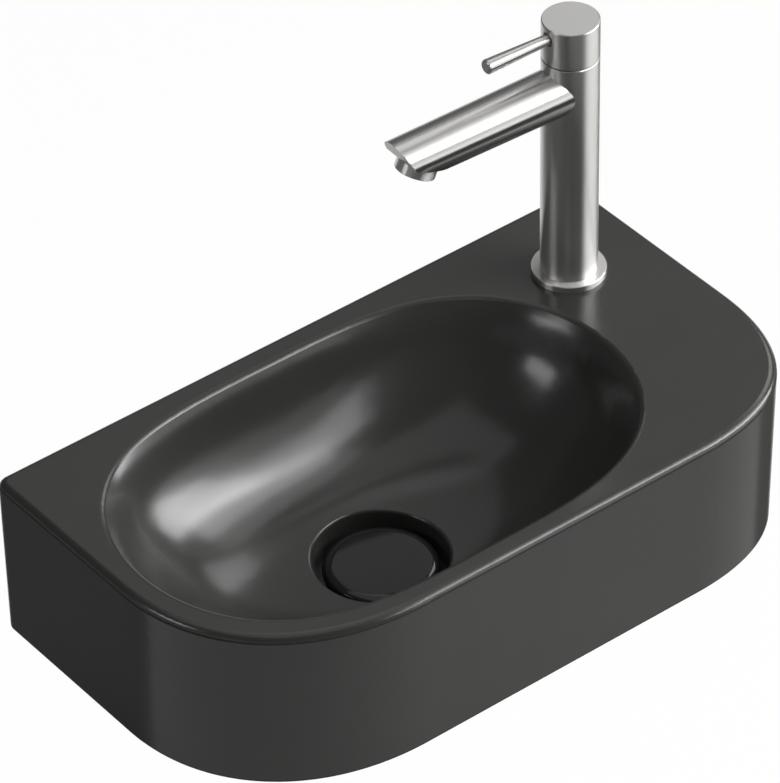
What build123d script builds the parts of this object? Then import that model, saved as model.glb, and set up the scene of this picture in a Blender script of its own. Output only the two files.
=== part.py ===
from build123d import *
import os
from math import atan2, copysign, cos, radians, sin

# Wall-hung hand-rinse basin with a cold pillar tap and a push-button waste.
# Millimetres. +X runs along the wall to the right as a user faces it, -Y points at the
# user, +Z is up. The origin is midway between the two wall fixings, on the wall.

# ---- basin -----------------------------------------------------------------------
basin_length = 440.0  # along the wall
basin_depth = 240.0  # out from the wall
basin_height = 112.0  # from the deck to the foot
fixing_drop = 70.0  # wall fixings below the deck
fixing_spacing = 200.0
fixing_hole_r = 7.0
fixing_boss_r = 20.0
fixing_boss_t = 5.0
wall_t = 9.0  # skirt
wall_lean = 1.4  # how far the front and the sides lean in at the foot
deck_t = 12.0
back_corner_r = 8.0
left_corner_x = 128.0  # rounded front corners: along the wall, and out from it
left_corner_y = 116.0
left_fullness = 0.593
right_corner_x = 106.0
right_corner_y = 104.0
right_fullness = 0.664
deck_edge_r = 5.0
foot_edge_r = 2.0

# ---- bowl ------------------------------------------------------------------------
left_land = 15.4  # deck left around the bowl, at each side
front_land = 13.6
back_land = 16.6
tap_deck = 85.2  # at its right
bowl_side_power = 3.5  # 2 is an ellipse; more gives the rim straighter sides
bowl_end_power = 2.0  # and this one straighter ends
bowl_rounding = 3.0  # more gives up the straight sides nearer to the rim
bowl_depth = 80.0
bowl_power = 4.0  # 2 is a plain dish, more gives steeper sides and a flatter floor
bowl_floor_share = 0.2  # innermost section, as a share of the rim
bowl_sections = 10
bowl_points = 32  # around each section
bowl_t = 7.0
bowl_rim_r = 4.5

# ---- drain seat ------------------------------------------------------------------
drain_shift_x = 2.0  # from the middle of the bowl
drain_shift_y = -1.0
recess_r = 40.8
recess_depth = 21.0
recess_edge_r = 2.0
drain_floor_t = 8.0
drain_hole_r = 23.0
drain_boss_t = 8.0  # around the recess

# ---- tap -------------------------------------------------------------------------
tap_from_bowl = 26.7  # from the right end of the bowl, along the wall
tap_y = -61.2
tap_turn = 2.0  # degrees that the spout is turned towards the wall
tap_hole_r = 17.5
tap_pad_r = 30.0  # thickening under the deck
tap_pad_t = 3.0
column_r = 17.5
column_top = 159.5  # above the deck
column_edge_r = 0.4
base_r = 23.0
base_h = 4.0
base_floor = 2.0
base_edge_r = 0.6
gasket_in_r = 18.6
gasket_out_r = 21.4
gasket_h = 1.2
shank_thread_r = 10.4775  # G1/2
shank_bore_r = 6.5
shank_socket = 16.0  # screwed into the column
shank_drop = 58.0  # below the deck
shank_edge = 1.2
waterway_r = 5.0
chamber_r = 12.5

spout_drop = 21.6  # spout axis below the top of the column
spout_root_r = 15.45
spout_end_r = 14.65
spout_cone = 120.0  # length over which the radius changes from root to end
spigot_r = 10.4
spout_bore_r = 8.3
spout_bore_stop = 25.2  # short of the aerator
outlet_bore_r = 6.0
outlet_bore_stop = 5.2
face_reach = 122.6  # from the tap's axis, on the spout's own axis
face_lean = 25.0  # degrees that the end face leans out at the top
jet_tilt = 24.0  # degrees that the jet leans away from the tap
aerator_setback = 11.4  # middle of the aerator's seat, short of the end face
aerator_drop = 4.5
aerator_r = 12.6
aerator_h = 7.1
aerator_edge = 0.5
aerator_neck_r = 10.4
aerator_neck_h = 5.5
aerator_bore_r = 9.2
aerator_lip = 0.8
aerator_lip_h = 1.0
aerator_seal_t = 1.5
mesh_hole_r = 0.9
mesh_pitch = 2.5
mesh_t = 2.0

# ---- lever -----------------------------------------------------------------------
joint_gap = 0.8  # between the column and the lever cap
cap_h = 25.3
cap_edge_r = 0.8
cap_roof = 7.6  # solid above the spindle
cavity_r = 14.2
lever_drop = 7.5  # lever axis below the top of the cap
lever_root_r = 3.3
lever_tip_r = 4.65
lever_reach = 62.3
lever_tip_edge_r = 1.2
lever_stud_r = 2.5
lever_stud = 7.5
lever_recess_r = 4.4
lever_recess = 2.1
grub_r = 2.5
grub_length = 8.0
grub_key = 2.5  # across the flats of its hex socket
grub_socket = 3.0

# ---- quarter-turn cartridge ------------------------------------------------------
cartridge_thread = 16.5
cartridge_waist = 14.65  # between the thread and the ceramic discs
waist_r = 9.5
collar_flats = 24.0
collar_t = 2.5
neck_r = 9.0
neck_h = 6.0
neck_gap = 1.0  # under the lever cap
spindle_r = 4.5
disc_r = 8.2
disc_t = 3.0
disc_port_r = 2.2
disc_port_reach = 4.6
disc_key_w = 3.0
drive_t = 2.8
drive_w = 3.0
drive_h = 1.2
cartridge_seal_t = 3.5
cartridge_seal_in_r = 6.4
window_w = 6.0
ring_wire_r = 0.8

# ---- fastening under the deck ----------------------------------------------------
bush_top_gap = 0.5
washer_r = 24.0
rubber_washer_t = 3.0
steel_washer_t = 2.0
back_nut_flats = 30.0
back_nut_h = 9.0
relief_gap = 2.0  # a run-out groove parts each nut's thread from the plumber's
relief_w = 2.5
relief_depth = 0.8

# ---- waste -----------------------------------------------------------------------
waste_thread_r = 20.955  # G1 1/4
waste_bore_r = 18.0
waste_flange_r = 33.0
waste_flange_t = 2.0
waste_mouth = 2.0  # how much wider the bore is at the flange
waste_mouth_h = 4.0
waste_tail = 64.0  # below the seat of the flange
waste_edge = 1.0
top_seal_t = 1.5
top_seal_out_r = 32.5
lower_washer_t = 3.0
lower_washer_r = 32.0
waste_nut_r = 30.0
waste_nut_h = 10.0
waste_nut_lugs = 8
waste_nut_lug_r = 3.0
plug_r = 35.0
plug_edge_r = 4.5
plug_h = 6.7
plug_skin = 2.2
plug_boss_r = 6.0
plug_rib_t = 2.0
plug_travel = 6.8
plug_down_gap = 0.7  # left between plug and flange when the plug is down
plug_seal_gap = 0.3  # and between its seal and the flange
plug_seal_in_r = 25.5
plug_seal_out_r = 29.0
stem_r = 3.5
stem_grip = 5.5  # screwed into the plug
boss_down_gap = 1.2
click_r = 6.0
click_h = 26.0
click_sink = 2.5  # top of the click body below the flange
click_floor = 2.0
click_stud_r = 3.9
hub_r = 8.0
hub_h = 5.0
hub_arm_w = 3.0
hub_arms = 3
spring_space = 14.0  # under the stem, with the plug up
spring_wire_r = 0.45
spring_turns = 6.0

# ---- clearances ------------------------------------------------------------------
thread_gap = 0.03  # threads are plain cylinders
running_gap = 0.05
seat_gap = 0.02
loose_gap = 0.3
open_end = 5.0  # how far a cut runs past the face it opens

# ---- places that follow from the sizes -------------------------------------------
rim_z = fixing_drop
foot_z = rim_z - basin_height
deck_under_z = rim_z - deck_t
bowl_floor_z = rim_z - bowl_depth
recess_floor_z = bowl_floor_z - recess_depth
drain_under_z = recess_floor_z - drain_floor_t
bowl_half_length = (basin_length - left_land - tap_deck) / 2
bowl_half_width = (basin_depth - front_land - back_land) / 2
bowl_x = (left_land - tap_deck) / 2
bowl_y = (front_land - back_land - basin_depth) / 2
drain_x = bowl_x + drain_shift_x
drain_y = bowl_y + drain_shift_y
tap_x = bowl_x + bowl_half_length + tap_from_bowl

up = Vector(0, 0, 1)
spout_dir = Vector(-cos(radians(tap_turn)), sin(radians(tap_turn)), 0)
jet_dir = spout_dir * sin(radians(jet_tilt)) - up * cos(radians(jet_tilt))
seat_dir = spout_dir * cos(radians(jet_tilt)) + up * sin(radians(jet_tilt))
face_dir = spout_dir * cos(radians(face_lean)) - up * sin(radians(face_lean))

# Heights on the tap are above the deck.
spout_h = column_top - spout_drop
aerator_reach = face_reach - aerator_setback
spout_bore_end = aerator_reach - spout_bore_stop
outlet_bore_end = aerator_reach - outlet_bore_stop
shank_top = base_floor + shank_socket
thread_foot = column_top - cartridge_thread
shoulder = thread_foot - cartridge_waist
foot_top = shoulder - running_gap
moving_disc_top = foot_top - drive_t
fixed_disc_top = moving_disc_top - disc_t
cartridge_seal_top = fixed_disc_top - disc_t
chamber_floor = cartridge_seal_top - cartridge_seal_t
collar_top = column_top + collar_t
neck_top = collar_top + neck_h
cap_foot = column_top + joint_gap
cap_top = cap_foot + cap_h
cavity_top = neck_top + neck_gap
spindle_top = cap_top - cap_roof
lever_h = cap_top - lever_drop
grub_h = (cavity_top + spindle_top) / 2
ring_h = (thread_foot + neck_top) / 2
tap_under = -deck_t - tap_pad_t
rubber_washer_foot = tap_under - rubber_washer_t
steel_washer_foot = rubber_washer_foot - steel_washer_t
back_nut_foot = steel_washer_foot - back_nut_h
shank_way_r = shank_thread_r + loose_gap

# Heights on the waste are above the floor of the recess.
flange_foot = top_seal_t
flange_top = flange_foot + waste_flange_t
plug_foot = flange_top + plug_down_gap + plug_travel
plug_top = plug_foot + plug_h
plug_under = plug_top - plug_skin
plug_seal_foot = flange_top + plug_seal_gap + plug_travel
click_top = flange_top - click_sink
click_foot = click_top - click_h
spring_foot = click_foot + click_floor
stem_foot = spring_foot + spring_space
boss_foot = click_top + boss_down_gap + plug_travel
lower_washer_top = -drain_floor_t
lower_washer_foot = lower_washer_top - lower_washer_t
waste_nut_foot = lower_washer_foot - waste_nut_h
stem_top = boss_foot + stem_grip
hub_foot = click_foot - hub_h
tail_foot = flange_foot - waste_tail
waste_way_r = waste_thread_r + loose_gap
click_bore_r = stem_r + running_gap


def side_plane(origin, across, along):
    """The plane of a turned profile: x is the radius, y runs along the axis."""
    return Plane(origin=origin, x_dir=across, z_dir=across.cross(along))


tap_origin = Vector(tap_x, tap_y, rim_z)
spout_origin = tap_origin + up * spout_h
lever_origin = tap_origin + up * lever_h
grub_origin = tap_origin + up * grub_h
aerator_origin = spout_origin + spout_dir * aerator_reach - up * aerator_drop
drain_origin = Vector(drain_x, drain_y, recess_floor_z)
tap_side = side_plane(tap_origin, spout_dir, up)
spout_side = side_plane(spout_origin, up, spout_dir)
aerator_side = side_plane(aerator_origin, seat_dir, jet_dir)
lever_side = side_plane(lever_origin, up, spout_dir)
grub_side = side_plane(grub_origin, up, -spout_dir)
drain_side = side_plane(drain_origin, Vector(1, 0, 0), up)


def across_axis(side, along):
    """The plane square to a turned piece's axis, some way along it."""
    return Plane(origin=side.origin + side.y_dir * along, x_dir=side.x_dir, z_dir=side.y_dir)


def turn(points, side, mode=Mode.ADD):
    """A lathe-turned shape from a closed profile of (radius, way along the axis)."""
    with BuildSketch(side) as profile:
        with BuildLine():
            Polyline(*points, close=True)
        make_face()
    revolve(profile.sketch, axis=Axis(side.origin, side.y_dir), mode=mode)


def ring(inner, outer, low, high, side, mode=Mode.ADD):
    """A plain ring, or a round bar where the inner radius is 0."""
    turn(((inner, low), (outer, low), (outer, high), (inner, high)), side, mode)


def relief(thread_r, nut_foot, side):
    """The run-out groove in a thread, just below a nut."""
    groove_top = nut_foot - relief_gap
    groove_foot = groove_top - relief_w
    ring(thread_r - relief_depth, thread_r + open_end, groove_foot, groove_top, side, Mode.SUBTRACT)


def full_corner(start, corner, end, fullness):
    """A rounded corner as one smooth curve; a fuller one reaches nearer to the corner."""
    first = Vector(*start)
    last = Vector(*end)
    middle = Vector(*corner)
    near_first = first + (middle - first) * fullness
    near_last = last + (middle - last) * fullness
    return Bezier(first, near_first, near_last, last)


def basin_plan(height, lean, wall):
    """The basin's plan at a height, leant in and inside a wall, with its back run too far."""
    left = lean + wall - basin_length / 2
    right = basin_length / 2 - lean - wall
    front = lean + wall - basin_depth
    back = -wall
    corner = back_corner_r
    left_end = (left, front + left_corner_y - wall)
    left_start = (left + left_corner_x - wall, front)
    right_end = (right - right_corner_x + wall, front)
    right_start = (right, front + right_corner_y - wall)
    with BuildSketch(Plane.XY.offset(height)) as plan:
        with BuildLine():
            Line((left + corner, open_end), (right - corner, open_end))
            Line((right - corner, open_end), (right - corner, back))
            RadiusArc((right - corner, back), (right, back - corner), corner)
            Line((right, back - corner), right_start)
            full_corner(right_start, (right, front), right_end, right_fullness)
            Line(right_end, left_start)
            full_corner(left_start, (left, front), left_end, left_fullness)
            Line(left_end, (left, back - corner))
            RadiusArc((left, back - corner), (left + corner, back), corner)
            Line((left + corner, back), (left + corner, open_end))
        make_face()
    return plan.sketch


def flat_back(wall):
    """Cut the back flat, parallel to the wall."""
    split(bisect_by=Plane.XZ.offset(wall), keep=Keep.TOP)


def oval(turn, long, wide, side_power):
    """A point on an oval, a turn in degrees around it, with its sides made straighter."""
    across = cos(radians(turn))
    along = sin(radians(turn))
    x = copysign(long * abs(across) ** (2 / side_power), across)
    y = copysign(wide * abs(along) ** (2 / bowl_end_power), along)
    return (x, y)


def bowl_plan(share, wall):
    """A section of the bowl that has shrunk to a share of its rim, or of its wall's outside."""
    fall = atan2(bowl_depth * bowl_power * share ** (bowl_power - 1), bowl_half_width)
    long = bowl_half_length * share + wall * sin(fall)
    wide = bowl_half_width * share + wall * sin(fall)
    depth = bowl_depth * (1 - share**bowl_power) + wall * cos(fall)
    side_power = 2 + (bowl_side_power - 2) * share**bowl_rounding
    step = 360 / bowl_points
    points = [oval(step * n, long, wide, side_power) for n in range(bowl_points)]
    with BuildSketch(Plane((bowl_x, bowl_y, rim_z - depth))) as plan:
        with BuildLine():
            Spline(*points, periodic=True)
        make_face()
    return plan.sketch


def bowl_plans(wall):
    """Every section of the bowl, from the rim to the floor."""
    step = (1 - bowl_floor_share) / (bowl_sections - 1)
    return [bowl_plan(1 - step * n, wall) for n in range(bowl_sections)]


finished = {}


def keep(name, builder):
    """Name a finished piece and set it aside for writing."""
    builder.part.label = name
    finished[name] = builder.part


# ---- basin: one ceramic casting, open underneath ---------------------------------
with BuildPart() as underside:
    inner_foot = basin_plan(foot_z, wall_lean, wall_t)
    inner_top = basin_plan(deck_under_z, 0.0, wall_t)
    loft([inner_foot, inner_top], ruled=True)
    flat_back(wall_t)
    loft(bowl_plans(bowl_t), mode=Mode.SUBTRACT)
    with BuildSketch(Plane.XY.offset(drain_under_z)):
        with Locations((drain_x, drain_y)):
            Circle(recess_r + drain_boss_t)
    extrude(amount=bowl_floor_z - drain_under_z, mode=Mode.SUBTRACT)
    with BuildSketch(Plane.XY.offset(deck_under_z)):
        with Locations((tap_x, tap_y)):
            Circle(tap_pad_r)
    extrude(amount=-tap_pad_t, mode=Mode.SUBTRACT)
    with BuildSketch(Plane.XZ):
        with GridLocations(fixing_spacing, 0, 2, 1):
            Circle(fixing_boss_r)
    extrude(amount=wall_t + fixing_boss_t, mode=Mode.SUBTRACT)

with BuildPart() as basin:
    loft([basin_plan(foot_z, wall_lean, 0.0), basin_plan(rim_z, 0.0, 0.0)], ruled=True)
    flat_back(0.0)
    fillet(basin.edges().group_by(Axis.Z)[-1], deck_edge_r)
    fillet(basin.edges().group_by(Axis.Z)[0], foot_edge_r)
    loft(bowl_plans(0.0), mode=Mode.SUBTRACT)
    fillet(basin.edges(Select.LAST).group_by(Axis.Z)[-1], bowl_rim_r)
    ring(0.0, recess_r, 0.0, recess_depth + bowl_depth, drain_side, Mode.SUBTRACT)
    cut_edges = basin.edges(Select.LAST)
    fillet(cut_edges.filter_by(lambda edge: edge.center().Z > bowl_floor_z), recess_edge_r)
    add(underside.part, mode=Mode.SUBTRACT)
    ring(0.0, tap_hole_r, tap_under - open_end, open_end, tap_side, Mode.SUBTRACT)
    ring(0.0, drain_hole_r, -drain_floor_t - open_end, open_end, drain_side, Mode.SUBTRACT)
    with BuildSketch(Plane.XZ):
        with GridLocations(fixing_spacing, 0, 2, 1):
            Circle(fixing_hole_r)
    extrude(amount=wall_t + fixing_boss_t + open_end, mode=Mode.SUBTRACT)
keep("basin", basin)

# ---- tap body --------------------------------------------------------------------
# The base ring carries the column and covers the hole in the deck.
with BuildPart() as base_ring:
    ring(shank_way_r, base_r, 0.0, base_h, tap_side)
    fillet(base_ring.edges().group_by(Axis.Z)[-1].sort_by(SortBy.LENGTH)[-1], base_edge_r)
    ring(0.0, column_r + seat_gap, base_floor, base_h + open_end, tap_side, Mode.SUBTRACT)
    ring(gasket_in_r, gasket_out_r, 0.0, gasket_h, tap_side, Mode.SUBTRACT)
keep("base_ring", base_ring)

with BuildPart() as base_gasket:
    ring(gasket_in_r + seat_gap, gasket_out_r - seat_gap, 0.0, gasket_h, tap_side)
keep("base_gasket", base_gasket)

with BuildPart() as column:
    ring(0.0, column_r, base_floor, column_top, tap_side)
    fillet(column.edges().group_by(Axis.Z)[-1], column_edge_r)
    ring(0.0, shank_thread_r + thread_gap, base_floor, shank_top, tap_side, Mode.SUBTRACT)
    ring(0.0, waterway_r, shank_top, chamber_floor, tap_side, Mode.SUBTRACT)
    ring(0.0, chamber_r, chamber_floor, column_top, tap_side, Mode.SUBTRACT)
    ring(0.0, spigot_r + seat_gap, 0.0, column_r + open_end, spout_side, Mode.SUBTRACT)
keep("column", column)

# ---- spout, silver-soldered into the column --------------------------------------
with BuildPart() as spout:
    taper = (spout_end_r - spout_root_r) / spout_cone
    blank = face_reach + spout_root_r
    blank_end_r = spout_root_r + taper * blank
    turn(((0, 0), (spout_root_r, 0), (blank_end_r, blank), (0, blank)), spout_side)
    saddle_foot = spout_h - spout_root_r - open_end
    ring(0.0, column_r + seat_gap, saddle_foot, column_top, tap_side, Mode.SUBTRACT)
    ring(0.0, spigot_r, chamber_r + loose_gap, column_r + open_end, spout_side)
    end_face = Plane(origin=spout_origin + spout_dir * face_reach, z_dir=face_dir)
    split(bisect_by=end_face, keep=Keep.BOTTOM)
    split(bisect_by=Plane(origin=aerator_origin, z_dir=jet_dir), keep=Keep.BOTTOM)
    ring(0.0, spout_bore_r, 0.0, spout_bore_end, spout_side, Mode.SUBTRACT)
    ring(0.0, outlet_bore_r, spout_bore_end, outlet_bore_end, spout_side, Mode.SUBTRACT)
    socket_depth = aerator_neck_h + aerator_seal_t
    ring(0.0, aerator_neck_r + thread_gap, -socket_depth, 0.0, aerator_side, Mode.SUBTRACT)
keep("spout", spout)

# ---- aerator, screwed into the tip of the spout ----------------------------------
lip_top = aerator_h - aerator_lip_h
with BuildPart() as aerator_housing:
    ring(0.0, aerator_r, 0.0, aerator_h, aerator_side)
    fillet(aerator_housing.edges().filter_by(GeomType.CIRCLE), aerator_edge)
    ring(0.0, aerator_neck_r, -aerator_neck_h, aerator_edge, aerator_side)
    ring(0.0, aerator_bore_r, -aerator_neck_h, lip_top, aerator_side, Mode.SUBTRACT)
    lip_r = aerator_bore_r - aerator_lip
    ring(0.0, lip_r, lip_top, aerator_h, aerator_side, Mode.SUBTRACT)
keep("aerator_housing", aerator_housing)

with BuildPart() as aerator_insert:
    insert_r = aerator_bore_r - running_gap
    ring(0.0, insert_r, -aerator_neck_h, lip_top, aerator_side)
    ring(0.0, insert_r - aerator_lip, -aerator_neck_h, lip_top - mesh_t, aerator_side, Mode.SUBTRACT)
    with BuildSketch(across_axis(aerator_side, lip_top - mesh_t)):
        mesh_reach = insert_r - 2 * aerator_lip - mesh_hole_r
        rows = int(mesh_reach / mesh_pitch)
        with GridLocations(mesh_pitch, mesh_pitch, 2 * rows + 1, 2 * rows + 1) as grid:
            spots = [spot.position for spot in grid.local_locations]
        with Locations(*[spot for spot in spots if spot.length < mesh_reach]):
            Circle(mesh_hole_r)
    extrude(amount=mesh_t, mode=Mode.SUBTRACT)
keep("aerator_insert", aerator_insert)

with BuildPart() as aerator_seal:
    ring(outlet_bore_r, aerator_neck_r, -socket_depth, -aerator_neck_h, aerator_side)
keep("aerator_seal", aerator_seal)

# ---- threaded shank and its fastening under the deck ------------------------------
with BuildPart() as shank:
    ring(0.0, shank_thread_r, -shank_drop, shank_top, tap_side)
    chamfer(shank.edges().group_by(Axis.Z)[0], shank_edge)
    relief(shank_thread_r, back_nut_foot, tap_side)
    ring(0.0, shank_bore_r, -shank_drop, shank_top, tap_side, Mode.SUBTRACT)
keep("shank", shank)

with BuildPart() as centring_bush:
    ring(shank_way_r, tap_hole_r - loose_gap, tap_under, -bush_top_gap, tap_side)
keep("centring_bush", centring_bush)

with BuildPart() as rubber_washer:
    ring(shank_way_r, washer_r, rubber_washer_foot, tap_under, tap_side)
keep("rubber_washer", rubber_washer)

with BuildPart() as steel_washer:
    ring(shank_way_r, washer_r, steel_washer_foot, rubber_washer_foot, tap_side)
keep("steel_washer", steel_washer)

with BuildPart() as back_nut:
    with BuildSketch(across_axis(tap_side, back_nut_foot)):
        RegularPolygon(back_nut_flats / 2, 6, major_radius=False)
    extrude(amount=back_nut_h)
    nut_bore_r = shank_thread_r + thread_gap
    ring(0.0, nut_bore_r, back_nut_foot, steel_washer_foot, tap_side, Mode.SUBTRACT)
keep("back_nut", back_nut)

# ---- quarter-turn ceramic cartridge in the top of the column ----------------------
with BuildPart() as cartridge_body:
    ring(0.0, waist_r, chamber_floor + loose_gap, thread_foot, tap_side)
    ring(0.0, chamber_r - thread_gap, thread_foot, column_top, tap_side)
    with BuildSketch(across_axis(tap_side, column_top)):
        RegularPolygon(collar_flats / 2, 6, major_radius=False)
    extrude(amount=collar_t)
    ring(0.0, neck_r, collar_top, neck_top, tap_side)
    ring(0.0, spindle_r + running_gap, chamber_floor, neck_top, tap_side, Mode.SUBTRACT)
    ring(0.0, disc_r + running_gap, chamber_floor, shoulder, tap_side, Mode.SUBTRACT)
    with BuildSketch(across_axis(tap_side, fixed_disc_top)):
        Rectangle(2 * chamber_r, window_w)
    extrude(amount=shoulder - fixed_disc_top, mode=Mode.SUBTRACT)
    with BuildSketch(across_axis(tap_side, chamber_floor)):
        Rectangle(disc_key_w + 2 * running_gap, 2 * chamber_r)
    extrude(amount=fixed_disc_top - chamber_floor, mode=Mode.SUBTRACT)
keep("cartridge_body", cartridge_body)

with BuildPart() as cartridge_seal:
    seal_out_r = disc_r - running_gap
    ring(cartridge_seal_in_r, seal_out_r, chamber_floor, cartridge_seal_top, tap_side)
keep("cartridge_seal", cartridge_seal)

with BuildPart() as ceramic_disc_fixed:
    ring(0.0, disc_r, cartridge_seal_top, fixed_disc_top, tap_side)
    with BuildSketch(across_axis(tap_side, cartridge_seal_top)):
        with Locations((0, disc_r), (0, -disc_r)):
            Rectangle(disc_key_w, 2 * (waist_r - disc_r))
    extrude(amount=disc_t)
    with BuildSketch(across_axis(tap_side, cartridge_seal_top)):
        with Locations((disc_port_reach, 0), (-disc_port_reach, 0)):
            Circle(disc_port_r)
    extrude(amount=disc_t, mode=Mode.SUBTRACT)
keep("ceramic_disc_fixed", ceramic_disc_fixed)

# Shut, its two notches stand a quarter turn from the ports of the fixed disc.
with BuildPart() as ceramic_disc_moving:
    ring(0.0, disc_r, fixed_disc_top, moving_disc_top, tap_side)
    with BuildSketch(across_axis(tap_side, fixed_disc_top)):
        with Locations((0, disc_r), (0, -disc_r)):
            Rectangle(2 * disc_port_r, 2 * (disc_r - disc_port_reach + disc_port_r))
    extrude(amount=disc_t, mode=Mode.SUBTRACT)
    with BuildSketch(across_axis(tap_side, moving_disc_top - drive_h)):
        Rectangle(2 * disc_r, drive_w)
    extrude(amount=drive_h, mode=Mode.SUBTRACT)
keep("ceramic_disc_moving", ceramic_disc_moving)

with BuildPart() as cartridge_spindle:
    ring(0.0, disc_r, moving_disc_top, foot_top, tap_side)
    with BuildSketch(across_axis(tap_side, moving_disc_top - drive_h + seat_gap)):
        Rectangle(2 * disc_r - loose_gap, drive_w - 2 * seat_gap)
    extrude(amount=drive_h)
    ring(0.0, spindle_r, foot_top, spindle_top, tap_side)
    groove_r = spindle_r + running_gap - seat_gap - 2 * ring_wire_r
    groove = ring_wire_r + seat_gap
    ring(groove_r - seat_gap, 2 * spindle_r, ring_h - groove, ring_h + groove, tap_side, Mode.SUBTRACT)
keep("cartridge_spindle", cartridge_spindle)

with BuildPart() as spindle_ring:
    with BuildSketch(tap_side) as wire:
        with Locations((groove_r + ring_wire_r, ring_h)):
            Circle(ring_wire_r)
    revolve(wire.sketch, axis=Axis(tap_origin, up))
keep("spindle_ring", spindle_ring)

# ---- lever -----------------------------------------------------------------------
recess_floor = column_r - lever_recess
stud_end = recess_floor - lever_stud
with BuildPart() as lever_cap:
    ring(0.0, column_r, cap_foot, cap_top, tap_side)
    fillet(lever_cap.edges().group_by(Axis.Z)[-1], cap_edge_r)
    fillet(lever_cap.edges().group_by(Axis.Z)[0], column_edge_r)
    ring(0.0, cavity_r, cap_foot, cavity_top, tap_side, Mode.SUBTRACT)
    ring(0.0, spindle_r + seat_gap, cavity_top, spindle_top, tap_side, Mode.SUBTRACT)
    recess_open = column_r + open_end
    ring(0.0, lever_recess_r, recess_floor, recess_open, lever_side, Mode.SUBTRACT)
    ring(0.0, lever_stud_r + thread_gap, stud_end, recess_floor, lever_side, Mode.SUBTRACT)
    ring(0.0, grub_r + thread_gap, spindle_r, recess_open, grub_side, Mode.SUBTRACT)
keep("lever_cap", lever_cap)

with BuildPart() as lever_pin:
    profile = (
        (0, stud_end),
        (lever_stud_r, stud_end),
        (lever_stud_r, recess_floor),
        (lever_root_r, recess_floor),
        (lever_tip_r, lever_reach),
        (0, lever_reach),
    )
    turn(profile, lever_side)
    tip_edges = lever_pin.edges().filter_by(GeomType.CIRCLE).sort_by(SortBy.RADIUS)
    fillet(tip_edges[-1], lever_tip_edge_r)
keep("lever_pin", lever_pin)

grub_tip = spindle_r + seat_gap
grub_end = grub_tip + grub_length
with BuildPart() as grub_screw:
    ring(0.0, grub_r, grub_tip, grub_end, grub_side)
    with BuildSketch(across_axis(grub_side, grub_end)):
        RegularPolygon(grub_key / 2, 6, major_radius=False)
    extrude(amount=-grub_socket, mode=Mode.SUBTRACT)
keep("grub_screw", grub_screw)

# ---- waste fitting ----------------------------------------------------------------
with BuildPart() as waste_body:
    ring(0.0, waste_flange_r, flange_foot, flange_top, drain_side)
    ring(0.0, waste_thread_r, tail_foot, flange_foot, drain_side)
    chamfer(waste_body.edges().group_by(Axis.Z)[0], waste_edge)
    relief(waste_thread_r, waste_nut_foot, drain_side)
    fillet(waste_body.edges().group_by(Axis.Z)[-1], waste_edge)
    mouth_foot = flange_top - waste_mouth_h
    mouth_top_r = waste_bore_r + waste_mouth
    mouth = ((0, tail_foot), (waste_bore_r, tail_foot), (waste_bore_r, mouth_foot))
    turn((*mouth, (mouth_top_r, flange_top), (0, flange_top)), drain_side, Mode.SUBTRACT)
    with BuildSketch(across_axis(drain_side, hub_foot)):
        Circle(hub_r)
        with PolarLocations(waste_bore_r / 2, hub_arms):
            Rectangle(waste_bore_r + waste_edge, hub_arm_w)
        Circle(click_stud_r + thread_gap, mode=Mode.SUBTRACT)
    extrude(amount=hub_h)
keep("waste_body", waste_body)

with BuildPart() as waste_top_seal:
    ring(drain_hole_r, top_seal_out_r, 0.0, flange_foot, drain_side)
keep("waste_top_seal", waste_top_seal)

with BuildPart() as waste_lower_washer:
    ring(waste_way_r, lower_washer_r, lower_washer_foot, lower_washer_top, drain_side)
keep("waste_lower_washer", waste_lower_washer)

with BuildPart() as waste_lock_nut:
    with BuildSketch(across_axis(drain_side, waste_nut_foot)):
        Circle(waste_nut_r)
        with PolarLocations(waste_nut_r, waste_nut_lugs):
            Circle(waste_nut_lug_r)
        Circle(waste_thread_r + thread_gap, mode=Mode.SUBTRACT)
    extrude(amount=waste_nut_h)
keep("waste_lock_nut", waste_lock_nut)

# ---- push-button plug -------------------------------------------------------------
with BuildPart() as plug_cap:
    ring(0.0, plug_r, plug_foot, plug_top, drain_side)
    fillet(plug_cap.edges().group_by(Axis.Z)[-1], plug_edge_r)
    rib_in_r = plug_seal_in_r - plug_rib_t
    ring(0.0, rib_in_r, plug_foot, plug_under, drain_side, Mode.SUBTRACT)
    channel_in_r = plug_seal_in_r - seat_gap
    channel_out_r = plug_seal_out_r + seat_gap
    ring(channel_in_r, channel_out_r, plug_foot, plug_under, drain_side, Mode.SUBTRACT)
    ring(0.0, plug_boss_r, boss_foot, plug_under, drain_side)
    ring(0.0, stem_r + thread_gap, boss_foot, stem_top, drain_side, Mode.SUBTRACT)
keep("plug_cap", plug_cap)

with BuildPart() as plug_seal:
    ring(plug_seal_in_r, plug_seal_out_r, plug_seal_foot, plug_under, drain_side)
keep("plug_seal", plug_seal)

with BuildPart() as plug_stem:
    ring(0.0, stem_r, stem_foot, stem_top, drain_side)
keep("plug_stem", plug_stem)

with BuildPart() as click_body:
    ring(0.0, click_r, click_foot, click_top, drain_side)
    ring(0.0, click_stud_r, hub_foot, click_foot, drain_side)
    ring(0.0, click_bore_r, spring_foot, click_top, drain_side, Mode.SUBTRACT)
keep("click_body", click_body)

with BuildPart() as click_spring:
    end_gap = spring_wire_r + running_gap
    coil_h = spring_space - 2 * end_gap
    coil_r = click_bore_r - end_gap
    coil_start = drain_origin + up * (spring_foot + end_gap)
    with BuildLine() as coil:
        Helix(coil_h / spring_turns, coil_h, coil_r, center=coil_start)
    with BuildSketch(Plane(origin=coil.line @ 0, z_dir=coil.line % 0)) as section:
        Circle(spring_wire_r)
    sweep(section.sketch, path=coil.line, is_frenet=True)
keep("click_spring", click_spring)

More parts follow.
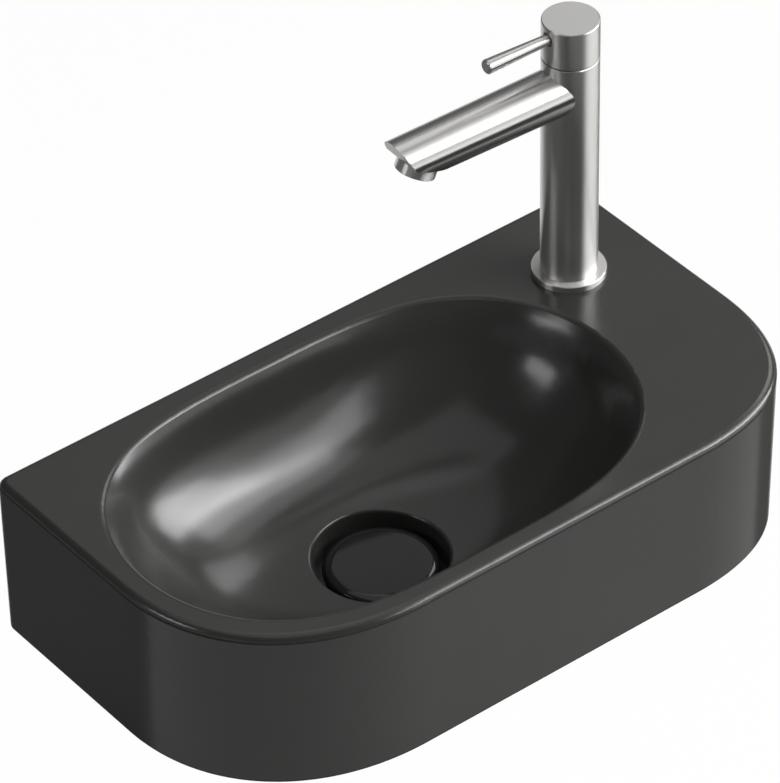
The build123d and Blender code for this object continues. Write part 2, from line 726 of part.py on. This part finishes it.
os.makedirs("parts", exist_ok=True)
for name, piece in finished.items():
    export_step(piece, f"parts/{name}.step")
    size = piece.bounding_box().size
    print(name, len(piece.solids()), round(piece.volume, 1), piece.is_valid, size)
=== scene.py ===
from math import cos, pi, radians, sin, tau

import bpy
from mathutils import Matrix, Vector


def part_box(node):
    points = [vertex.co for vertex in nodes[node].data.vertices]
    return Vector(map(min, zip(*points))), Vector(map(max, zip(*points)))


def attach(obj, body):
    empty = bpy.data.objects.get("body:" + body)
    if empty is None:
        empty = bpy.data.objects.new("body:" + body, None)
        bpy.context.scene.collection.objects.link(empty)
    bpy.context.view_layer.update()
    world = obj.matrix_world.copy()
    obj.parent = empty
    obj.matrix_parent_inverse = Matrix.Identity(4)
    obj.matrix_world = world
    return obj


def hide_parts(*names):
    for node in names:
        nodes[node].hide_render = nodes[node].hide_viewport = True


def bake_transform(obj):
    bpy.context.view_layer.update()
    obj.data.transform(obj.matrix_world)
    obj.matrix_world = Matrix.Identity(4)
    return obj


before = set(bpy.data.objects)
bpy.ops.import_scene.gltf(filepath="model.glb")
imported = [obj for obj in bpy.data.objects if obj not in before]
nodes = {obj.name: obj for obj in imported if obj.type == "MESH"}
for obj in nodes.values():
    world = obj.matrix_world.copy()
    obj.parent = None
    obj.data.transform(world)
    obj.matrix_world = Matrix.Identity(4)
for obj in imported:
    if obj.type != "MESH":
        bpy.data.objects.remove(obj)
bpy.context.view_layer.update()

# ---- Where the basin is looked at from ------------------------------------------------
# The eye stands to the left of the basin and well above it, three and a half metres off
# with a long lens, so that upright edges stay nearly parallel.
LOOK_AT = Vector((0.0001, -0.09146, 0.07859))
EYE_TURN = radians(-37.913)
EYE_HEIGHT = radians(39.311)
EYE_TILT = radians(-0.991)
EYE_DISTANCE = 3.4107
LENS = 269.6


def towards(turn, height):
    """The direction at a turn from straight in front of the wall, and a height above level."""
    return Vector((sin(turn) * cos(height), -cos(turn) * cos(height), sin(height)))


back = towards(EYE_TURN, EYE_HEIGHT)
level = Vector((0, 0, 1)).cross(back).normalized()
upright = back.cross(level)
side = level * cos(EYE_TILT) + upright * sin(EYE_TILT)
top = upright * cos(EYE_TILT) - level * sin(EYE_TILT)
camera = bpy.data.objects.new("camera", bpy.data.cameras.new("camera"))
bpy.context.scene.collection.objects.link(camera)
camera.data.lens = LENS
camera.data.sensor_fit = "HORIZONTAL"
turned = Matrix((side, top, back)).transposed().to_4x4()
camera.matrix_world = Matrix.Translation(LOOK_AT + back * EYE_DISTANCE) @ turned
bpy.context.scene.camera = camera
bpy.context.scene.view_settings.view_transform = "Standard"

# ---- Floor and room -----------------------------------------------------------------------
# The basin hangs at its working height over a plain white studio floor, in a dim grey room.
# The floor is matt paint on board, so it takes the basin's shadow.
FLOOR_Z = -0.80
FLOOR_HALF = 12.0
FLOOR_GREY = 0.85
FLOOR_WHITE_SHARE = 0.97
ROOM_GREY = 0.11


def mesh_piece(name, points, faces, smooth=True):
    """A new mesh object from its points and faces."""
    mesh = bpy.data.meshes.new(name)
    mesh.from_pydata(points, [], faces)
    mesh.validate()
    mesh.polygons.foreach_set("use_smooth", [smooth] * len(mesh.polygons))
    piece = bpy.data.objects.new(name, mesh)
    bpy.context.scene.collection.objects.link(piece)
    return piece


def shading(tree, kind, **inputs):
    """A new node; a value or another node's output goes into each named input."""
    node = tree.nodes.new("ShaderNode" + kind)
    put(tree, node, **inputs)
    return node


def put(tree, node, **inputs):
    """Join outputs, or set plain values, on a node's named inputs."""
    for name, value in inputs.items():
        socket = node.inputs[name.replace("_", " ")]
        if isinstance(value, bpy.types.NodeSocket):
            tree.links.new(value, socket)
        else:
            socket.default_value = value


def worked(tree, operation, first, second):
    """A sum, a product or another operation on two numbers, held between 0 and 1."""
    node = tree.nodes.new("ShaderNodeMath")
    node.operation = operation
    node.use_clamp = True
    for socket, value in zip(node.inputs, (first, second)):
        if isinstance(value, bpy.types.NodeSocket):
            tree.links.new(value, socket)
        else:
            socket.default_value = value
    return node.outputs[0]


def floor_paint():
    """Matt white, seen as pure white by the eye and in gloss, metal and glass."""
    material = bpy.data.materials.new("floor_paint")
    material.use_nodes = True
    tree = material.node_tree
    tree.nodes.clear()
    grain = shading(tree, "TexNoise", Scale=6.0, Detail=4.0).outputs["Fac"]
    tone = shading(tree, "MapRange", Value=grain, To_Min=FLOOR_GREY - 0.02, To_Max=FLOOR_GREY)
    matt = shading(tree, "BsdfDiffuse", Color=tone.outputs["Result"])
    white = shading(tree, "Emission", Strength=1.0)
    path = shading(tree, "LightPath").outputs
    mirrored = worked(tree, "ADD", path["Is Glossy Ray"], path["Is Transmission Ray"])
    seen = worked(tree, "ADD", path["Is Camera Ray"], mirrored)
    both = shading(tree, "MixShader", Fac=worked(tree, "MULTIPLY", seen, FLOOR_WHITE_SHARE))
    tree.links.new(matt.outputs[0], both.inputs[1])
    tree.links.new(white.outputs[0], both.inputs[2])
    shading(tree, "OutputMaterial", Surface=both.outputs[0])
    return material


corners = [(x * FLOOR_HALF, y * FLOOR_HALF, FLOOR_Z) for x, y in ((-1, -1), (1, -1), (1, 1), (-1, 1))]
floor = mesh_piece("floor", corners, [(0, 1, 2, 3)])
floor.data.materials.append(floor_paint())

room = bpy.data.worlds.new("room")
room.use_nodes = True
room.node_tree.nodes["Background"].inputs["Color"].default_value = (ROOM_GREY, ROOM_GREY, ROOM_GREY, 1.0)
bpy.context.scene.world = room

# ---- Dark cloth and pale card ---------------------------------------------------------------
# Black cloth lies on the floor in front and at the sides, with a pale card on it in front
# and a grey one at the left, as is done in studios for metal. The cards are black and glow by
# themselves, a painted light in place of lamp light thrown back off real cards. Only gloss and
# brushed steel show them, as dark bands and as a soft light from below.
CLOTH_TURNS = (-165, 107)
CLOTH_REACH = (0.0, 6.0)
CLOTH_LIFT = 0.01
CLOTH_GREY = (0.03, 0.05)
CARD_TURNS = (-112, 75)
CARD_REACH = (0.85, 1.45)
CARD_LIFT = 0.02
CARD_GLOW = (0.50, 0.55)
SIDE_CARD_TURNS = (-165, -112)
SIDE_CARD_GLOW = (0.11, 0.13)
FAN_STEPS = 48


def floor_fan(name, turns, reach, lift):
    """A flat fan on the floor, seen by gloss alone; its material's node tree is given back."""
    low, high = radians(turns[0]), radians(turns[1])
    points = []
    for step in range(FAN_STEPS + 1):
        turn = low + (high - low) * step / FAN_STEPS
        for far in reach:
            points.append((far * sin(turn), -far * cos(turn), FLOOR_Z + lift))
    faces = [(2 * n, 2 * n + 1, 2 * n + 3, 2 * n + 2) for n in range(FAN_STEPS)]
    fan = mesh_piece(name, points, faces)
    fan.visible_camera = False
    fan.visible_diffuse = False
    fan.visible_shadow = False
    material = bpy.data.materials.new(name)
    material.use_nodes = True
    fan.data.materials.append(material)
    return material.node_tree


def soft_grain(tree, low, high):
    """Slight cloudy variation of a tone."""
    grain = shading(tree, "TexNoise", Scale=30.0).outputs["Fac"]
    return shading(tree, "MapRange", Value=grain, To_Min=low, To_Max=high).outputs["Result"]


tree = floor_fan("dark_cloth", CLOTH_TURNS, CLOTH_REACH, CLOTH_LIFT)
put(tree, tree.nodes["Principled BSDF"], Base_Color=soft_grain(tree, *CLOTH_GREY), Roughness=1.0)
for name, turns, glow in (
    ("pale_card", CARD_TURNS, CARD_GLOW),
    ("grey_side_card", SIDE_CARD_TURNS, SIDE_CARD_GLOW),
):
    tree = floor_fan(name, turns, CARD_REACH, CARD_LIFT)
    shader = tree.nodes["Principled BSDF"]
    # The cards' own glow is painted light, standing in for lamp light thrown back off them.
    put(tree, shader, Base_Color=(0.0, 0.0, 0.0, 1.0), Emission_Strength=1.0)
    put(tree, shader, Emission_Color=soft_grain(tree, *glow), Roughness=1.0)

# ---- Lamps --------------------------------------------------------------------------------
# Large soft boxes light the basin. The main one stands low on the right and leans, with
# weaker ones over and under it that soften its edges. Small ones in front, at the right and
# at the left draw the bright lines, and wide dim ones fill in from the left, above and behind.
LAMP_DISTANCE = 2.4


def soft_box(name, turn, height, wide, tall, glow, lean=0.0):
    """A rectangular lamp that faces the basin from a turn and a height in degrees."""
    lamp = bpy.data.lights.new(name, "AREA")
    lamp.shape = "RECTANGLE"
    lamp.size = wide
    lamp.size_y = tall
    lamp.energy = glow * wide * tall * pi
    holder = bpy.data.objects.new(name, lamp)
    bpy.context.scene.collection.objects.link(holder)
    way = towards(radians(turn), radians(height))
    faced = way.to_track_quat("Z", "Y").to_matrix() @ Matrix.Rotation(radians(lean), 3, "Z")
    holder.location = LOOK_AT + way * LAMP_DISTANCE
    holder.rotation_euler = faced.to_euler()
    holder.visible_camera = False


# Each lamp: its turn and height in degrees, its width and height in metres, glow and lean.
soft_box("main_box", 60, 18, 2.1, 0.58, 10.0, -22.0)
soft_box("upper_box", 54, 31, 1.9, 0.8, 5.0, -12.0)
soft_box("high_box", 60, 47, 2.0, 0.6, 1.6, -12.0)
soft_box("low_box", 46, 0, 2.3, 1.1, 1.6)
soft_box("front_box", 25, 26, 0.8, 0.8, 4.0)
soft_box("right_box", 108, 34, 0.8, 0.9, 2.4)
soft_box("left_box", -100, 27, 0.9, 0.55, 4.5)
soft_box("dim_left_box", -88, 6, 3.0, 1.0, 0.22)
soft_box("behind_box", 130, 50, 2.2, 2.2, 0.34)
soft_box("overhead_box", 0, 88, 2.5, 2.5, 0.5)

# ---- Basin ------------------------------------------------------------------------------
# One slip-cast shell of vitreous china with a matt black glaze. It is fired standing on its
# foot, which is wiped clean of glaze, and it hangs on two bolts through its back.
GLAZE = (0.030, 0.030, 0.0285, 1.0)
GLAZE_THIN = (0.036, 0.036, 0.0342, 1.0)
GLAZE_ROUGH = (0.19, 0.23)
BARE_CHINA = (0.62, 0.58, 0.50, 1.0)
WIPED = 0.0003  # how far up from the foot the glaze is wiped off


def finish(name):
    """A new material: its node tree, its shader and the piece's own coordinates."""
    material = bpy.data.materials.new(name)
    material.use_nodes = True
    tree = material.node_tree
    return material, tree, tree.nodes["Principled BSDF"], shading(tree, "TexCoord").outputs["Object"]


def cloud(tree, where, per_metre, detail=3.0):
    """Soft random variation, 0 to 1, with so many waves to the metre."""
    return shading(tree, "TexNoise", Vector=where, Scale=per_metre, Detail=detail).outputs["Fac"]


def between(tree, factor, low, high):
    """A factor of 0 to 1 stretched to run from low to high."""
    return shading(tree, "MapRange", Value=factor, To_Min=low, To_Max=high).outputs["Result"]


def blend_of(tree, factor, first, second):
    """One colour turning into another."""
    node = tree.nodes.new("ShaderNodeMix")
    node.data_type = "RGBA"
    tree.links.new(factor, node.inputs["Factor"])
    for socket, value in ((node.inputs[6], first), (node.inputs[7], second)):
        if isinstance(value, bpy.types.NodeSocket):
            tree.links.new(value, socket)
        else:
            socket.default_value = value
    return node.outputs[2]


def relief(tree, height, distance, strength=1.0):
    """Small unevenness of the surface, as deep as distance in metres."""
    return shading(tree, "Bump", Height=height, Distance=distance, Strength=strength).outputs["Normal"]


def matt_glaze():
    """Matt black glaze with a faint orange peel, wiped off the foot."""
    material, tree, shader, where = finish("matt_black_glaze")
    drift = cloud(tree, where, 18.0)
    peel = cloud(tree, where, 420.0, 2.0)
    speck = cloud(tree, where, 2600.0, 2.0)
    colour = blend_of(tree, drift, GLAZE, GLAZE_THIN)
    rough = between(tree, speck, *GLAZE_ROUGH)
    foot_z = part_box("basin")[0][2]
    height = shading(tree, "SeparateXYZ", Vector=where).outputs["Z"]
    wiped = worked(tree, "LESS_THAN", height, foot_z + WIPED)
    put(tree, shader, Base_Color=blend_of(tree, wiped, colour, BARE_CHINA), IOR=1.52)
    put(tree, shader, Roughness=worked(tree, "ADD", rough, worked(tree, "MULTIPLY", wiped, 0.5)))
    put(tree, shader, Normal=relief(tree, peel, 0.00001))
    return material


def dress(names, material):
    """Give the built pieces of those names a finish."""
    for name in names:
        nodes[name].data.materials.clear()
        nodes[name].data.materials.append(material)


dress(("basin",), matt_glaze())

# ---- Tap body -----------------------------------------------------------------------------
# A stainless steel pillar tap, turned from bar and brushed on the lathe, so that the fine
# marks run round each piece and draw its highlights out along it. A rubber ring seals its
# base ring to the deck.
STEEL = (0.68, 0.675, 0.66, 1.0)
STEEL_DARK = (0.60, 0.595, 0.58, 1.0)
BRUSH_ROUGH = 0.30
BRUSH_DRAW = 1.0
BRUSH_MARKS = 3500.0  # waves to the metre along the axis
END_FACE_LAY = Vector((0.0035, -0.0197, 0.002))  # which way the flat ends are brushed


def brushed_steel(name, centre, axis, rough=BRUSH_ROUGH):
    """Steel brushed round an axis through a point."""
    material, tree, shader, where = finish(name)
    offset = tree.nodes.new("ShaderNodeVectorMath")
    offset.operation = "SUBTRACT"
    tree.links.new(where, offset.inputs[0])
    offset.inputs[1].default_value = centre
    along = tree.nodes.new("ShaderNodeVectorMath")
    along.operation = "DOT_PRODUCT"
    tree.links.new(offset.outputs["Vector"], along.inputs[0])
    along.inputs[1].default_value = axis
    rings = tree.nodes.new("ShaderNodeTexNoise")
    rings.noise_dimensions = "1D"
    put(tree, rings, W=along.outputs["Value"], Scale=BRUSH_MARKS, Detail=4.0)
    turned_in = shading(tree, "VectorTransform", Vector=axis + END_FACE_LAY)
    turned_in.vector_type = "VECTOR"
    turned_in.convert_from = "OBJECT"
    turned_in.convert_to = "WORLD"
    colour = blend_of(tree, rings.outputs["Fac"], STEEL_DARK, STEEL)
    roughness = between(tree, rings.outputs["Fac"], rough - 0.03, rough + 0.03)
    put(tree, shader, Base_Color=colour, Metallic=1.0, Roughness=roughness)
    put(tree, shader, Anisotropic=BRUSH_DRAW, Tangent=turned_in.outputs["Vector"])
    put(tree, shader, Normal=relief(tree, rings.outputs["Fac"], 0.000004))
    return material


def middle(name):
    """The centre of a built piece's box."""
    low, high = (Vector(corner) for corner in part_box(name))
    return (low + high) / 2


tap_axis = Vector((0, 0, 1))
tap_centre = middle("base_ring")
upright_steel = brushed_steel("upright_steel", tap_centre, tap_axis)
dress(("base_ring", "column"), upright_steel)


def plain(name, colour, rough, metallic=0.0, waves=900.0, depth=0.00001):
    """A plain finish with slight variation in colour and sheen."""
    material, tree, shader, where = finish(name)
    drift = cloud(tree, where, waves)
    darker = tuple(0.85 * channel for channel in colour[:3]) + (1.0,)
    put(tree, shader, Base_Color=blend_of(tree, drift, darker, colour))
    put(tree, shader, Roughness=between(tree, drift, rough - 0.05, rough + 0.05), Metallic=metallic)
    put(tree, shader, Normal=relief(tree, drift, depth))
    return material


rubber = plain("black_rubber", (0.02, 0.02, 0.02, 1.0), 0.7)
dress(("base_gasket",), rubber)

# ---- Spout --------------------------------------------------------------------------------
# A thick bar of the same steel, tapered, bored and silver-soldered into the body. It leaves
# the body level, turned slightly towards the wall, and is brushed round its own length.
SPOUT_TURN = radians(2.0)

spout_axis = Vector((-cos(SPOUT_TURN), sin(SPOUT_TURN), 0))
dress(("spout",), brushed_steel("spout_steel", middle("spout"), spout_axis))

# ---- Aerator ------------------------------------------------------------------------------
# The ring that screws into the slanted tip of the spout is steel. It holds a moulded grey
# insert that breaks up the jet, and a rubber washer seals it.
JET_TILT = radians(24.0)

jet_axis = spout_axis * sin(JET_TILT) - tap_axis * cos(JET_TILT)
dress(("aerator_housing",), brushed_steel("aerator_steel", middle("aerator_housing"), jet_axis))
grey_plastic = plain("grey_plastic", (0.30, 0.31, 0.32, 1.0), 0.45)
dress(("aerator_insert",), grey_plastic)
dress(("aerator_seal",), rubber)

# ---- Cartridge ----------------------------------------------------------------------------
# A quarter-turn cartridge of turned brass screws into the top of the body. Its spindle
# turns one of two lapped white ceramic discs, over a rubber seal, and an O-ring seals it.
brass = plain("raw_brass", (0.72, 0.52, 0.24, 1.0), 0.32, 1.0)
disc_ceramic = plain("disc_ceramic", (0.85, 0.84, 0.80, 1.0), 0.25)
dress(("cartridge_body", "cartridge_spindle"), brass)
dress(("ceramic_disc_moving", "ceramic_disc_fixed"), disc_ceramic)
dress(("cartridge_seal", "spindle_ring"), rubber)

# ---- Lever --------------------------------------------------------------------------------
# The cap is turned from the same bar as the body. The lever is a tapered pin screwed into
# its side, and a grub screw on the far side clamps the cap to the spindle.
dress(("lever_cap",), upright_steel)
dress(("lever_pin",), brushed_steel("lever_steel", middle("lever_pin"), spout_axis))
zinc_steel = plain("zinc_steel", (0.55, 0.55, 0.54, 1.0), 0.35, 1.0)
dress(("grub_screw",), zinc_steel)

# ---- Fastening under the deck ---------------------------------------------------------------
# A threaded brass tube screws into the body and drops through the deck. A plastic bush
# centres it, and a rubber washer, a steel washer and a brass nut clamp the tap from below.
dress(("shank", "back_nut"), brass)
dress(("centring_bush",), grey_plastic)
dress(("rubber_washer",), rubber)
dress(("steel_washer",), zinc_steel)

# ---- Waste ----------------------------------------------------------------------------------
# The drain fitting is a black-coated brass body with a threaded tail. A rubber seal lies
# under its flange, and a rubber washer and a lugged plastic nut clamp it from below.
GLOSS = (0.010, 0.010, 0.010, 1.0)
GLOSS_WORN = (0.016, 0.016, 0.016, 1.0)


def gloss_black():
    """Black coating with a soft shine, thinner in places."""
    material, tree, shader, where = finish("gloss_black")
    drift = cloud(tree, where, 60.0)
    colour = blend_of(tree, drift, GLOSS, GLOSS_WORN)
    put(tree, shader, Base_Color=colour, Roughness=between(tree, drift, 0.06, 0.10), IOR=1.5)
    return material


coated_black = gloss_black()
dress(("waste_body",), coated_black)
dress(("waste_top_seal", "waste_lower_washer"), rubber)
dress(("waste_lock_nut",), grey_plastic)

# ---- Plug -----------------------------------------------------------------------------------
# The push button is a black-coated brass cap with a rubber ring under it, screwed to a steel
# stem. The stem slides in a moulded latch body, in the hub of the waste, on a spring wound
# from steel wire.
PLUG_R = 0.035
PLUG_DOME = 0.0004  # how much the top falls before its shoulder
PLUG_SHOULDER = (0.0075, 0.0047)  # across, and down
PLUG_DOME_RINGS = 6
PLUG_BEND = 14
TURNED_STEPS = 120
CREASE = radians(35.0)  # edges sharper than this are not smoothed over
# Under the cap, in millimetres out and down: a groove for its rubber ring, a rib, and the
# boss that the stem screws into.
PLUG_UNDER = ((35.0, 6.7), (29.02, 6.7), (29.02, 2.2), (25.48, 2.2), (25.48, 6.7), (23.5, 6.7),
              (23.5, 2.2), (6.0, 2.2), (6.0, 8.7), (3.53, 8.7), (3.53, 3.2), (0.0, 3.2))


def turned(name, foot, profile):
    """A solid turned about an upright line through a point, from its section's radii and heights."""
    points, rows = [], []
    for reach, height in profile:
        steps = TURNED_STEPS if reach else 1
        rows.append(range(len(points), len(points) + steps))
        for step in range(steps):
            turn = tau * step / TURNED_STEPS
            points.append((foot.x + reach * cos(turn), foot.y + reach * sin(turn), foot.z + height))
    faces = []
    for upper, lower in zip(rows, rows[1:]):
        for step in range(TURNED_STEPS):
            onward = (step + 1) % TURNED_STEPS
            corners = [upper[step % len(upper)], lower[step % len(lower)]]
            corners += [lower[onward % len(lower)], upper[onward % len(upper)]]
            faces.append(tuple(dict.fromkeys(corners)))
    piece = mesh_piece(name, points, faces)
    piece.data.set_sharp_from_angle(angle=CREASE)
    return piece


flat_r = PLUG_R - PLUG_SHOULDER[0]
rings_out = [n / PLUG_DOME_RINGS for n in range(PLUG_DOME_RINGS)]
section = [(flat_r * share, -PLUG_DOME * share**2) for share in rings_out]
for n in range(PLUG_BEND + 1):
    bend = pi / 2 * n / PLUG_BEND
    fall = PLUG_DOME + PLUG_SHOULDER[1] * (1 - cos(bend))
    section.append((flat_r + PLUG_SHOULDER[0] * sin(bend), -fall))
section += [(reach / 1000, -fall / 1000) for reach, fall in PLUG_UNDER]
cap_low, cap_high = (Vector(corner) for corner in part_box("plug_cap"))
plug_top = Vector(((cap_low.x + cap_high.x) / 2, (cap_low.y + cap_high.y) / 2, cap_high.z))
plug_button = turned("plug_button", plug_top, section)
plug_button.data.materials.append(coated_black)
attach(plug_button, "plug")
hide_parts("plug_cap")
dress(("plug_seal",), rubber)
dress(("plug_stem",), zinc_steel)
dress(("click_body",), grey_plastic)

SPRING_WIRE = 0.00045  # half the wire's thickness
SPRING_TURNS = 5
SPRING_STEPS = 28  # to each turn
SPRING_SIDES = 8


def coil_spring(name, low, high):
    """A wound wire between two corners of a box, with its end turns closed and touching."""
    heart = (low + high) / 2
    turn_r = (high.x - low.x) / 2 - SPRING_WIRE
    foot, head = low.z + SPRING_WIRE, high.z - SPRING_WIRE
    closed, open_turns = 2 * SPRING_WIRE, SPRING_TURNS - 2
    rise = (head - foot - 2 * closed) / open_turns
    heights = [foot] + [foot + closed + rise * n for n in range(open_turns + 1)] + [head]
    points = []
    for step in range(SPRING_TURNS * SPRING_STEPS + 1):
        turn, part = divmod(step / SPRING_STEPS, 1.0)
        lift = heights[int(turn)] * (1 - part) + heights[min(int(turn) + 1, SPRING_TURNS)] * part
        out = Vector((cos(tau * part), sin(tau * part), 0))
        for side_step in range(SPRING_SIDES):
            round_wire = tau * side_step / SPRING_SIDES
            reach = turn_r + SPRING_WIRE * cos(round_wire)
            rest = lift + SPRING_WIRE * sin(round_wire)
            points.append((heart.x + out.x * reach, heart.y + out.y * reach, rest))
    faces = []
    for step in range(SPRING_TURNS * SPRING_STEPS):
        for side_step in range(SPRING_SIDES):
            start, onward = step * SPRING_SIDES, (step + 1) * SPRING_SIDES
            after = (side_step + 1) % SPRING_SIDES
            faces.append((start + side_step, onward + side_step, onward + after, start + after))
    faces.append(tuple(range(SPRING_SIDES)))
    faces.append(tuple(reversed(range(len(points) - SPRING_SIDES, len(points)))))
    return mesh_piece(name, points, faces)


spring_low, spring_high = (Vector(corner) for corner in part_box("click_spring"))
spring = coil_spring("plug_spring", spring_low, spring_high)
spring.data.materials.append(zinc_steel)
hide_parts("click_spring")
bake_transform(spring)
